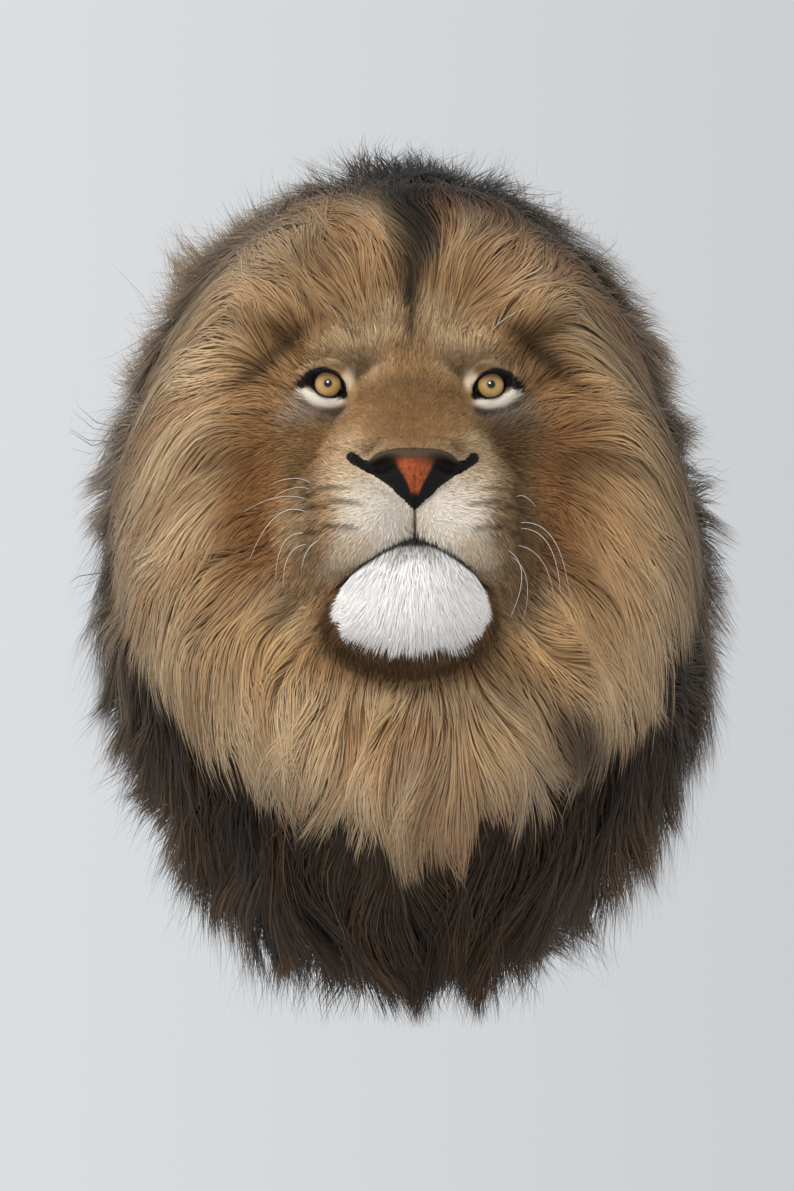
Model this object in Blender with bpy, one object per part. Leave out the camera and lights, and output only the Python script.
"""Lion head wall mount in long artificial fur.

Its pieces are a backboard, a head, a dark mane, a tan ruff on it, a chin tuft, a nose, two eyes and whiskers.

Metres, +Z up, the face looks along -Y and the backboard's back face lies in the plane y = 0, on the wall.
A "depth" below is the distance out from the wall, so a point of depth d has y = -d.
Angles round the mane are measured from straight up, towards +X.
"""

import math

import bmesh
import bpy
import numpy as np
from mathutils import Vector

GAP = 0.0005
CUT_PROUD = 0.050

# Backboard
BOARD_THICK = 0.018
BOARD_SHARE = 0.70
BOARD_SIDES = 48
BOARD_BEVEL = 0.002
BOARD_CLEAR = 0.002

# Keyhole routed in the backboard's back, for one wall screw
KEY_Z = 0.160
KEY_RISE = 0.018
KEY_ENTRY_R = 0.006
KEY_SLOT_R = 0.0027
KEY_LIP = 0.004
KEY_DEEP = 0.011

# Face: the ellipse where the short coat meets the mane
FACE_Z = 0.050
FACE_HALF_W = 0.140
FACE_HALF_H = 0.158
FACE_COLUMNS = 64
FACE_RINGS = 14

# Mane
COLUMNS = 84
LOCK_COLUMNS = 3
LOCK_CREST = (0.0, 0.65, 1.0)
CREST_MEAN = 0.45
RIM_DEPTH = 0.030
WALL_CLEAR = 0.001
DROOP = math.radians(18)
RUFF_LIFT = 0.014
LOCK_RELIEF = 0.009
RIM_LOCK = 0.045
RIM_SHARE = 0.970
LAST_STEP = 0.006
LAST_EDGE = 0.93
RUFF_LOCK = 0.060
HIDDEN_STEPS = 2

# The mane's outer edge from the middle of the backboard, every 15 degrees from straight up
MANE_RADII = (
    0.392, 0.380, 0.360, 0.331, 0.303, 0.291, 0.293, 0.303, 0.320, 0.336, 0.356, 0.374,
    0.384, 0.374, 0.345, 0.315, 0.300, 0.288, 0.282, 0.291, 0.306, 0.329, 0.356, 0.380,
)
# The tan ruff's outer edge over the dark mane, at the same angles
RUFF_RADII = (
    0.325, 0.318, 0.302, 0.281, 0.265, 0.260, 0.256, 0.240, 0.238, 0.236, 0.230, 0.238,
    0.262, 0.226, 0.224, 0.227, 0.235, 0.241, 0.252, 0.262, 0.270, 0.284, 0.308, 0.322,
)

# Eyes
EYE_X = 0.0675
EYE_Z = 0.137
EYE_R = 0.0170
EYE_FRONT = 0.2760
LID_HALF_W = 0.0152
LID_UP = 0.0112
LID_DOWN = 0.0104
LID_TILT = math.radians(20)
LID_DEEP = 0.012

# Nose leather: half of its outline from the middle of the top edge to the lower tip, (x, z)
NOSE_OUTLINE = (
    (0.000, 0.0690), (0.012, 0.0695), (0.024, 0.0688), (0.034, 0.0672), (0.042, 0.0685),
    (0.0490, 0.0712), (0.0515, 0.0670), (0.0480, 0.0597), (0.0400, 0.0535),
    (0.0300, 0.0463), (0.0200, 0.0386), (0.0110, 0.0300), (0.0045, 0.0240), (0.000, 0.0205),
)
NOSE_RISE = 0.0035
NOSE_SEAT = 0.318
NOSE_MIDDLE = 0.050
NOSE_RINGS = (1.0, 0.86, 0.62, 0.34)
NOSE_ROUND = 0.0025
SEAT_SPREAD = 1.6
NOSTRIL = (0.0280, 0.0560)
NOSTRIL_R = (0.0120, 0.0130, 0.0062)
NOSTRIL_SINK = 0.001
NOSTRIL_TILT = math.radians(28)

# Mouth line and chin tuft
MOUTH_TOP_Z = -0.003
MOUTH_HALF_W = 0.061
MOUTH_DROP = 0.033
CHIN_HALF_W = 0.066
CHIN_LOW_Z = -0.084
CHIN_MIDDLE_Z = -0.047
CHIN_SEAT = 0.333
CHIN_THICK = 0.024
CHIN_SLOPE = 0.020
CHIN_CURVE = 0.044
CHIN_FULL = 0.014
CHIN_SPREAD = 1.45
CHIN_SQUARE = 0.6
CHIN_LOCK = 0.006
CHIN_COLUMNS = 22
CHIN_ROWS = 5

# Whiskers: place, side, root (x, z) and tip (x, z)
WHISKERS = (
    ("lip", -1, (0.0820, 0.0500), (0.1100, 0.0480)),
    ("lip", -1, (0.0825, 0.0440), (0.1080, 0.0370)),
    ("lip", -1, (0.0850, 0.0360), (0.1330, 0.0244)),
    ("lip", -1, (0.0850, 0.0236), (0.1270, -0.0153)),
    ("lip", -1, (0.0870, 0.0080), (0.1070, -0.0296)),
    ("lip", -1, (0.0850, -0.0010), (0.1010, -0.0360)),
    ("lip", -1, (0.0750, -0.0020), (0.0870, -0.0272)),
    ("lip", 1, (0.0840, 0.0387), (0.0980, 0.0300)),
    ("lip", 1, (0.0870, 0.0170), (0.1230, -0.0376)),
    ("lip", 1, (0.0860, 0.0110), (0.1150, -0.0407)),
    ("lip", 1, (0.0850, -0.0010), (0.1120, -0.0440)),
    ("lip", 1, (0.0800, -0.0100), (0.0873, -0.0606)),
    ("lip", 1, (0.0750, -0.0080), (0.0746, -0.0606)),
    ("brow", -1, (0.0580, 0.1836), (0.0745, 0.2047)),
    ("brow", 1, (0.0656, 0.1770), (0.0956, 0.1940)),
    ("brow", 1, (0.0690, 0.1800), (0.0770, 0.1960)),
    ("brow", 1, (0.0620, 0.1860), (0.0670, 0.2010)),
)
WHISKER_ROOT_R = 0.0005
WHISKER_TIP_R = 0.00022
WHISKER_SIDES = 3
WHISKER_STEPS = 5
WHISKER_OUT = 0.45
WHISKER_FORWARD = {"lip": 0.12, "brow": 0.80}
WHISKER_CLEAR = 0.0025

COLOURS = {
    "backboard": ((0.52, 0.38, 0.24), 0.75, 0.0),
    "head": ((0.31, 0.19, 0.105), 0.9, 0.0),
    "mane_dark": ((0.035, 0.026, 0.020), 0.95, 0.0),
    "mane_tan": ((0.36, 0.24, 0.135), 0.95, 0.0),
    "chin_tuft": ((0.74, 0.70, 0.68), 0.95, 0.0),
    "nose": ((0.24, 0.065, 0.030), 0.45, 0.0),
    "eye": ((0.52, 0.30, 0.07), 0.08, 0.0),
    "whisker": ((0.80, 0.78, 0.74), 0.40, 0.0),
}


def smooth_max(a, b, blend):
    """The larger of two height fields, with a rounded join about as wide as blend."""
    share = np.clip(0.5 + 0.5 * (a - b) / blend, 0, 1)
    return b * (1 - share) + a * share + blend * share * (1 - share)


def mound(x, z, middle, half, base, rise):
    """An ellipsoid standing on the depth base; outside its edge it goes on falling."""
    r2 = ((x - middle[0]) / half[0]) ** 2 + ((z - middle[1]) / half[1]) ** 2
    inside = np.sqrt(np.clip(1 - r2, 0, None))
    outside = np.sqrt(np.clip(r2, 1, None)) - 1
    return base + rise * (inside - 2.0 * outside)


def bump(x, z, middle, width, height):
    """A soft round swelling, or a hollow where height is negative."""
    r2 = ((x - middle[0]) / width[0]) ** 2 + ((z - middle[1]) / width[1]) ** 2
    return height * np.exp(-r2)


def face_depth(x, z):
    """How far the head's skin stands out from the wall at (x, z)."""
    x = np.asarray(x, float)
    z = np.asarray(z, float)
    side = np.abs(x)
    depth = mound(side, z, (0, 0.075), (0.165, 0.215), 0.135, 0.145)
    depth = smooth_max(depth, mound(side, z, (0, 0.185), (0.100, 0.078), 0.205, 0.076), 0.020)
    depth = smooth_max(depth, mound(side, z, (0.090, 0.100), (0.058, 0.050), 0.195, 0.070), 0.020)
    depth = smooth_max(depth, mound(side, z, (0.085, 0.020), (0.060, 0.090), 0.180, 0.075), 0.024)
    depth = smooth_max(depth, mound(side, z, (0.048, 0.168), (0.046, 0.026), 0.245, 0.046), 0.012)
    wide = 0.048 + 0.25 * np.clip(0.155 - z, 0, 0.10)
    ridge = 0.287 + np.clip(0.155 - z, 0, None) * 1.02 - np.clip(z - 0.155, 0, None) * 0.5
    ridge = ridge - 0.070 * (side / wide) ** 3 - np.clip(0.080 - z, 0, None) * 2.4
    depth = smooth_max(depth, ridge, 0.014)
    depth = smooth_max(depth, mound(side, z, (0, 0.033), (0.098, 0.067), 0.250, 0.120), 0.014)
    depth = smooth_max(depth, mound(side, z, (0.036, 0.014), (0.051, 0.043), 0.318, 0.066), 0.010)
    depth = smooth_max(depth, mound(side, z, (0, 0.050), (0.037, 0.040), 0.342, 0.036), 0.008)
    depth = smooth_max(depth, mound(side, z, (0, -0.045), (0.074, 0.055), 0.268, 0.086), 0.010)
    depth = depth + bump(side, z, (0.052, 0.112), (0.014, 0.014), -0.008)
    depth = depth + bump(x, z, (0, 0.200), (0.012, 0.050), -0.006)
    lids = mound(side, z, (EYE_X, EYE_Z), (0.030, 0.025), EYE_FRONT - 0.0215, 0.0215)
    depth = smooth_max(depth, lids, 0.006)
    return depth + bump(side, z, (0.046, 0.072), (0.014, 0.0065), 0.0065)


def between(values, angle):
    """A closed row of values, one every 15 degrees, read smoothly at an angle in radians."""
    table = np.asarray(values)
    place = (np.degrees(angle) % 360) / (360 / len(table))
    first = np.floor(place).astype(int)
    share = place - first
    share = share * share * (3 - 2 * share)
    return table[first % len(table)] * (1 - share) + table[(first + 1) % len(table)] * share


def face_edge(theta):
    """The inner edge of the mane, at angle theta round the face, as (x, z)."""
    return np.array([FACE_HALF_W * math.sin(theta), FACE_Z + FACE_HALF_H * math.cos(theta)])


def mane_angle(theta):
    """Where the hair that leaves the face at angle theta reaches the outer edge: it droops at the sides."""
    return theta + DROOP * math.sin(theta)


def polar(radius, angle):
    return np.array([radius * math.sin(angle), radius * math.cos(angle)])


def flow(theta, t, reach=1.0):
    """The (x, z) of a point along the hair's line from the face edge (t = 0) to the outer edge (t = 1)."""
    start = face_edge(theta)
    angle = mane_angle(theta)
    end = polar(reach * between(MANE_RADII, angle), angle)
    bend = start + polar(0.45 * np.linalg.norm(end - start), theta)
    return (1 - t) ** 2 * start + 2 * t * (1 - t) * bend + t * t * end


def mane_depth(theta, t):
    """The outer surface of the hair along the same line."""
    x, z = face_edge(theta)
    inner = float(face_depth(x, z)) + 0.006
    low = max(0.0, -math.cos(theta))
    rim = RIM_DEPTH + 0.022 * low
    profile = (1 - min(1.0, t) ** (2.4 + 1.4 * low)) ** 0.75
    puff = (0.014 + 0.030 * low) * math.sin(math.pi * min(1.0, t * 1.25)) * (1 - t)
    ears = 0.016 * math.exp(-(((math.sin(theta) ** 2 - 0.42) / 0.18) ** 2 + ((t - 0.30) / 0.20) ** 2))
    ears *= math.cos(theta) > 0
    return rim + (inner - rim) * profile + puff + ears


def ruff_limit(theta):
    """The t at which the tan ruff ends and the dark mane shows."""
    low, high = 0.0, 1.0
    for _ in range(24):
        middle = (low + high) / 2
        x, z = flow(theta, middle)
        if math.hypot(x, z) < between(RUFF_RADII, math.atan2(x, z)):
            low = middle
        else:
            high = middle
    return low


def crest(column, row):
    """How high a column of the mane stands: 0 in the parting, 1 on a lock's crest. Rows are staggered."""
    return LOCK_CREST[(column + row) % LOCK_COLUMNS]


def strip(first, second, count, other_way=False):
    """Two triangles for each step between two closed loops of vertex numbers."""
    faces = []
    for i in range(count):
        k = (i + 1) % count
        if other_way:
            faces += [(first + i, first + k, second + i), (first + k, second + k, second + i)]
        else:
            faces += [(first + i, first + k, second + k), (first + i, second + k, second + i)]
    return faces


def material(name):
    made = bpy.data.materials.get(name)
    if made:
        return made
    colour, roughness, metallic = COLOURS[name]
    made = bpy.data.materials.new(name)
    made.use_nodes = True
    shader = made.node_tree.nodes["Principled BSDF"]
    shader.inputs["Base Color"].default_value = (*colour, 1)
    shader.inputs["Roughness"].default_value = roughness
    shader.inputs["Metallic"].default_value = metallic
    return made


def solid(name, points, faces, look, crease=50):
    """A named object from (x, z, depth) points and faces, facing out."""
    mesh = bpy.data.meshes.new(name)
    mesh.from_pydata([(x, -depth, z) for x, z, depth in points], [], faces)
    work = bmesh.new()
    work.from_mesh(mesh)
    bmesh.ops.recalc_face_normals(work, faces=work.faces)
    if work.calc_volume(signed=True) < 0:
        bmesh.ops.reverse_faces(work, faces=work.faces)
    work.to_mesh(mesh)
    work.free()
    mesh.shade_smooth()
    mesh.set_sharp_from_angle(angle=math.radians(crease))
    obj = bpy.data.objects.new(name, mesh)
    bpy.context.scene.collection.objects.link(obj)
    if look:
        mesh.materials.append(material(look))
    return obj


def ring_solid(name, loops, flips, look):
    """A closed ring: loops of COLUMNS points each, joined one to the next and the last to the first."""
    points = [point for loop in loops for point in loop]
    faces = []
    for n, other_way in enumerate(flips):
        faces += strip(n * COLUMNS, (n + 1) % len(loops) * COLUMNS, COLUMNS, other_way)
    return solid(name, points, faces, look)


def cut(obj, cutter):
    """Takes cutter's shape out of obj, and keeps the cutter only as a helper."""
    cutter.hide_render = True
    cutter.display_type = "WIRE"
    tool = obj.modifiers.new(f"cut_{cutter.name}", "BOOLEAN")
    tool.operation = "DIFFERENCE"
    tool.solver = "EXACT"
    tool.object = cutter


def prism(name, outline, near, far, look=None):
    """An outline of (x, z) points between two depths."""
    count = len(outline)
    points = [(x, z, near) for x, z in outline] + [(x, z, far) for x, z in outline]
    faces = [tuple(range(count)), tuple(range(2 * count - 1, count - 1, -1))]
    faces += [(i, (i + 1) % count, count + (i + 1) % count, count + i) for i in range(count)]
    return solid(name, points, faces, look)


def stadium(low, rise, radius, arc=10):
    """A slot's outline: a half circle below low, one above low + rise."""
    outline = []
    for middle, start in ((low + rise, -math.pi / 2), (low, math.pi / 2)):
        for n in range(arc + 1):
            x, z = polar(radius, start + math.pi * n / arc)
            outline.append((x, middle + z))
    return outline


def build_backboard():
    outline = []
    for n in range(BOARD_SIDES):
        angle = 2 * math.pi * n / BOARD_SIDES
        outline.append(polar(BOARD_SHARE * between(MANE_RADII, angle), angle))
    board = prism("backboard", outline, 0.0, BOARD_THICK, "backboard")
    edge = board.modifiers.new("eased_edge", "BEVEL")
    edge.width = BOARD_BEVEL
    edge.segments = 1
    edge.limit_method = "ANGLE"
    edge.angle_limit = math.radians(60)
    over = 0.002
    step = 0.0004
    cut(board, prism("key_entry", stadium(KEY_Z, step / 4, KEY_ENTRY_R), -over, KEY_DEEP))
    cut(board, prism("key_slot", stadium(KEY_Z, KEY_RISE, KEY_SLOT_R), -over, KEY_DEEP - 2 * step))
    undercut = stadium(KEY_Z, KEY_RISE, KEY_ENTRY_R - step / 2)
    cut(board, prism("key_undercut", undercut, KEY_LIP, KEY_DEEP - step))


def build_head():
    middle = np.array([0, FACE_Z])
    shrink = 1 - GAP / FACE_HALF_W
    edge = [shrink * (face_edge(2 * math.pi * i / FACE_COLUMNS) - middle) for i in range(FACE_COLUMNS)]
    points = [(*middle, float(face_depth(*middle)))]
    for ring in range(1, FACE_RINGS + 1):
        for offset in edge:
            x, z = middle + offset * ring / FACE_RINGS
            points.append((x, z, float(face_depth(x, z))))
    back = BOARD_THICK + GAP
    points += [(*(middle + offset), back) for offset in edge]
    points.append((*middle, back))
    faces = [(0, 1 + i, 1 + (i + 1) % FACE_COLUMNS) for i in range(FACE_COLUMNS)]
    for ring in range(FACE_RINGS):
        faces += strip(1 + ring * FACE_COLUMNS, 1 + (ring + 1) * FACE_COLUMNS, FACE_COLUMNS)
    last = 1 + FACE_RINGS * FACE_COLUMNS
    faces += [(last + i, last + (i + 1) % FACE_COLUMNS, last + FACE_COLUMNS) for i in range(FACE_COLUMNS)]
    head = solid("head", points, faces, "head")
    for side in (-1, 1):
        cut(head, eyeball(f"socket_{side}", side, EYE_R + GAP))
        cut(head, prism(f"lids_{side}", eye_opening(side), EYE_FRONT - LID_DEEP, EYE_FRONT + CUT_PROUD))
    cut(head, nose_solid("nose_seat", GAP, CUT_PROUD, None))
    cut(head, chin_solid("chin_seat", GAP, CUT_PROUD, None))


def eye_opening(side, count=9):
    """The almond between the lids. Its inner corner, towards the nose, is the lower one."""
    outline = []
    for upper in (True, False):
        for n in range(count - 1):
            s = -1 + 2 * n / (count - 1)
            s = s if upper else -s
            rise = (LID_UP if upper else -LID_DOWN) * (1 - s * s) ** 0.7
            x = LID_HALF_W * s * math.cos(LID_TILT) - rise * math.sin(LID_TILT)
            z = LID_HALF_W * s * math.sin(LID_TILT) + rise * math.cos(LID_TILT)
            outline.append((side * (EYE_X + x), EYE_Z + z))
    return outline


def eyeball(name, side, radius, look=None):
    mesh = bpy.data.meshes.new(name)
    work = bmesh.new()
    bmesh.ops.create_uvsphere(work, u_segments=16, v_segments=10, radius=radius)
    work.to_mesh(mesh)
    work.free()
    mesh.shade_smooth()
    obj = bpy.data.objects.new(name, mesh)
    obj.location = (side * EYE_X, -(EYE_FRONT - EYE_R), EYE_Z)
    bpy.context.scene.collection.objects.link(obj)
    if look:
        mesh.materials.append(material(look))
    return obj


def nose_depth(x, z):
    """The front of the nose leather: a little proud of the muzzle, and round at its rim."""
    return float(face_depth(x, z)) + NOSE_RISE


def nose_solid(name, grow, proud, look):
    """The nose leather, from its seat to its front. With grow and proud set it is the seat's cutter."""
    half = list(NOSE_OUTLINE)
    outline = half + [(-x, z) for x, z in half[-2:0:-1]]
    middle = np.array([0.0, NOSE_MIDDLE])
    count = len(outline)
    points = []
    seat = NOSE_SEAT - grow
    for x, z in outline:
        away = np.array([x, z]) - middle
        spot = np.array([x, z]) + away / np.linalg.norm(away) * grow * SEAT_SPREAD
        points.append((*spot, seat))
    for n, share in enumerate(NOSE_RINGS):
        for x, z in outline:
            away = np.array([x, z]) - middle
            spot = middle + away * share + away / np.linalg.norm(away) * grow * SEAT_SPREAD
            rim = NOSE_ROUND if n == 0 else 0.0
            points.append((*spot, nose_depth(*spot) - rim + proud))
    points.append((*middle, nose_depth(*middle) + proud))
    points.append((*middle, seat))
    faces = []
    for n in range(len(NOSE_RINGS)):
        faces += strip(n * count, (n + 1) * count, count)
    top = (len(NOSE_RINGS) + 1) * count
    last = len(NOSE_RINGS) * count
    faces += [(last + i, last + (i + 1) % count, top) for i in range(count)]
    faces += [((i + 1) % count, i, top + 1) for i in range(count)]
    return solid(name, points, faces, look, 35)


def build_nose():
    nose = nose_solid("nose", 0.0, 0.0, "nose")
    for side in (-1, 1):
        x, z = NOSTRIL
        mesh = bpy.data.meshes.new("nostril")
        work = bmesh.new()
        bmesh.ops.create_uvsphere(work, u_segments=14, v_segments=8, radius=1.0)
        for vert in work.verts:
            vert.co = Vector(size * place for size, place in zip(NOSTRIL_R, vert.co))
        work.to_mesh(mesh)
        work.free()
        hole = bpy.data.objects.new(f"nostril_{side}", mesh)
        hole.location = (side * x, -nose_depth(x, z) - NOSTRIL_SINK, z)
        hole.rotation_euler = (0, side * NOSTRIL_TILT, 0)
        bpy.context.scene.collection.objects.link(hole)
        cut(nose, hole)


def mouth_z(x):
    """Height of the line between the lips."""
    return MOUTH_TOP_Z - MOUTH_DROP * (abs(x) / MOUTH_HALF_W) ** 1.35


def chin_back(x, z):
    """The seat of the white chin tuft: it curves away to the sides and slopes back below."""
    down = (MOUTH_TOP_Z - z) / (MOUTH_TOP_Z - CHIN_LOW_Z)
    return CHIN_SEAT - CHIN_SLOPE * down - CHIN_CURVE * (x / CHIN_HALF_W) ** 2


def chin_depth(x, z):
    """The front of the chin tuft: fullest a little below the lip."""
    down = (MOUTH_TOP_Z - z) / (MOUTH_TOP_Z - CHIN_LOW_Z)
    return chin_back(x, z) + CHIN_THICK + CHIN_FULL * math.sin(math.pi * min(1, max(0, down)))


def chin_solid(name, grow, proud, look):
    """The chin tuft, its lower edge in pointed locks. With grow and proud set it is its seat's cutter."""
    points = []
    for layer in ("front", "back"):
        for row in range(CHIN_ROWS + 1):
            v = row / CHIN_ROWS
            for column in range(CHIN_COLUMNS + 1):
                u = -1 + 2 * column / CHIN_COLUMNS
                pointed = 1 if grow else column % 2
                tip = CHIN_LOCK * pointed * v * v
                top_x = (MOUTH_HALF_W + grow) * u
                angle = CHIN_SPREAD * u
                low_x = (CHIN_HALF_W + grow + tip) * math.sin(angle)
                drop = CHIN_MIDDLE_Z - CHIN_LOW_Z + grow + tip
                low_z = CHIN_MIDDLE_Z - drop * math.cos(angle) ** CHIN_SQUARE
                x = (1 - v) * top_x + v * low_x
                z = (1 - v) * (mouth_z(top_x) + grow) + v * low_z
                depth = chin_depth(x, z) + 0.5 * CHIN_LOCK * pointed * v
                rounded = 0.010 * (v**6 + (1 - v) ** 8) + 0.004 * abs(u) ** 12
                if layer == "front":
                    depth = chin_depth(x, z) + proud if grow else depth - rounded
                else:
                    depth = chin_back(x, z) - grow
                points.append((x, z, depth))
    across = CHIN_COLUMNS + 1
    sheet = across * (CHIN_ROWS + 1)
    faces = []
    for row in range(CHIN_ROWS):
        for column in range(CHIN_COLUMNS):
            a = row * across + column
            b, c, d = a + 1, a + 1 + across, a + across
            faces += [(a, b, c), (a, c, d)]
            faces += [(sheet + c, sheet + b, sheet + a), (sheet + d, sheet + c, sheet + a)]
    rim = list(range(across)) + [across * (row + 1) - 1 for row in range(1, CHIN_ROWS)]
    rim += list(range(sheet - 1, sheet - across - 1, -1))
    rim += [across * row for row in range(CHIN_ROWS - 1, 0, -1)]
    for n, a in enumerate(rim):
        b = rim[(n + 1) % len(rim)]
        faces += [(a, b, sheet + b), (a, sheet + b, sheet + a)]
    return solid(name, points, faces, look, 40)


def ruff_edge(column, theta):
    """Where the ruff ends in this column: its locks run out in points over the dark mane."""
    return min(LAST_EDGE, ruff_limit(theta) * (1 + RUFF_LOCK * (crest(column, 0) - 0.5)))


def mane_rows():
    """The shared columns of the mane: their angle and where the ruff ends."""
    angles = [2 * math.pi * i / COLUMNS for i in range(COLUMNS)]
    return [(i, theta, ruff_edge(i, theta)) for i, theta in enumerate(angles)]


def under_ruff(theta, t, above=0.0):
    """A point of the face between the dark mane and the ruff that lies on it."""
    x, z = flow(theta, t)
    return x, z, mane_depth(theta, t) - RUFF_LIFT + above


def build_mane_dark():
    rows = mane_rows()
    loops = []
    for k in range(HIDDEN_STEPS + 1):
        loops.append([under_ruff(theta, edge * k / HIDDEN_STEPS) for _, theta, edge in rows])
    bands, steps = 2, 3
    for row in range(1, bands * steps + 1):
        loop = []
        for i, theta, edge in rows:
            share = row / (bands * steps)
            t = edge + (1 - edge) * share
            high = crest(i, 1 + (row - 1) // steps)
            reach = 1 + RIM_LOCK * (high - CREST_MEAN) * share**3
            x, z = flow(theta, t, reach)
            relief = LOCK_RELIEF * high * ((row - 1) % steps + 1) / steps
            fade = RUFF_LIFT * (1 - share)
            loop.append((x, z, mane_depth(theta, t) - fade + relief - LAST_STEP * share))
        loops.append(loop)
    back = BOARD_THICK + GAP
    rim = [flow(theta, 1.0, RIM_SHARE + RIM_LOCK * (crest(i, 2) - CREST_MEAN)) for i, theta, _ in rows]
    board = []
    for _, theta, _ in rows:
        angle = mane_angle(theta)
        board.append(polar(BOARD_SHARE * between(MANE_RADII, angle) + BOARD_CLEAR, angle))
    loops.append([(x, z, WALL_CLEAR) for x, z in rim])
    loops.append([(x, z, WALL_CLEAR) for x, z in board])
    loops.append([(x, z, back) for x, z in board])
    loops.append([(*face_edge(theta), back) for _, theta, _ in rows])
    ring_solid("mane_dark", loops, [False] * len(loops), "mane_dark")


def build_mane_tan():
    rows = mane_rows()
    bands, steps = 3, 3
    loops = [[(*face_edge(theta), mane_depth(theta, 0)) for _, theta, _ in rows]]
    for row in range(1, bands * steps + 1):
        loop = []
        for i, theta, edge in rows:
            band, step = divmod(row - 1, steps)
            high = crest(i, band - (bands - 1))
            t = edge * (row + 0.5 * high * (step == steps - 1) * (band < bands - 1)) / (bands * steps)
            x, z = flow(theta, t)
            relief = LOCK_RELIEF * high * (step + 1) / steps
            last = LAST_STEP * (row == bands * steps)
            loop.append((x, z, mane_depth(theta, t) + relief - last))
        loops.append(loop)
    for k in range(HIDDEN_STEPS, -1, -1):
        loops.append([under_ruff(theta, edge * k / HIDDEN_STEPS, GAP) for _, theta, edge in rows])
    flips = [False] * (bands * steps + 1) + [True] * HIDDEN_STEPS + [False]
    ring_solid("mane_tan", loops, flips, "mane_tan")


def skin_normal(x, z, step=0.002):
    """The way out of the head's skin at (x, z)."""
    across = float(face_depth(x + step, z) - face_depth(x - step, z)) / (2 * step)
    up = float(face_depth(x, z + step) - face_depth(x, z - step)) / (2 * step)
    return Vector((-across, -1, -up)).normalized()


def whisker(name, side, root_at, tip_at, forward):
    """A tapered bristle: straight out of the skin, then over towards its tip."""
    x, z = side * root_at[0], root_at[1]
    out = skin_normal(x, z)
    root = Vector((x, -float(face_depth(x, z)), z)) + out * WHISKER_CLEAR
    across = Vector((side * tip_at[0] - x, 0, tip_at[1] - z))
    bend = root + out * across.length * WHISKER_OUT
    tip = root + across + Vector((0, -across.length * forward, 0))
    points = []
    for step in range(WHISKER_STEPS + 1):
        s = step / WHISKER_STEPS
        centre = (1 - s) ** 2 * root + 2 * s * (1 - s) * bend + s * s * tip
        ahead = ((1 - s) * (bend - root) + s * (tip - bend)).normalized()
        first = ahead.cross(out.cross(across)).normalized()
        second = ahead.cross(first)
        radius = WHISKER_ROOT_R + (WHISKER_TIP_R - WHISKER_ROOT_R) * s
        for n in range(WHISKER_SIDES):
            turn = 2 * math.pi * n / WHISKER_SIDES
            p = centre + (first * math.cos(turn) + second * math.sin(turn)) * radius
            points.append((p.x, p.z, -p.y))
    faces = []
    for step in range(WHISKER_STEPS):
        faces += strip(step * WHISKER_SIDES, (step + 1) * WHISKER_SIDES, WHISKER_SIDES)
    last = WHISKER_STEPS * WHISKER_SIDES
    faces += [tuple(range(WHISKER_SIDES)), tuple(range(last, last + WHISKER_SIDES))]
    solid(name, points, faces, "whisker")


def build_whiskers():
    for n, (place, side, root_at, tip_at) in enumerate(WHISKERS, 1):
        hand = "right" if side > 0 else "left"
        whisker(f"whisker_{place}_{hand}_{n:02d}", side, root_at, tip_at, WHISKER_FORWARD[place])


def main():
    for obj in list(bpy.data.objects):
        bpy.data.objects.remove(obj)
    build_backboard()
    build_head()
    build_mane_dark()
    build_mane_tan()
    chin_solid("chin_tuft", 0.0, 0.0, "chin_tuft")
    build_nose()
    for side, hand in ((-1, "left"), (1, "right")):
        eyeball(f"eye_{hand}", side, EYE_R, "eye")
    build_whiskers()


main()
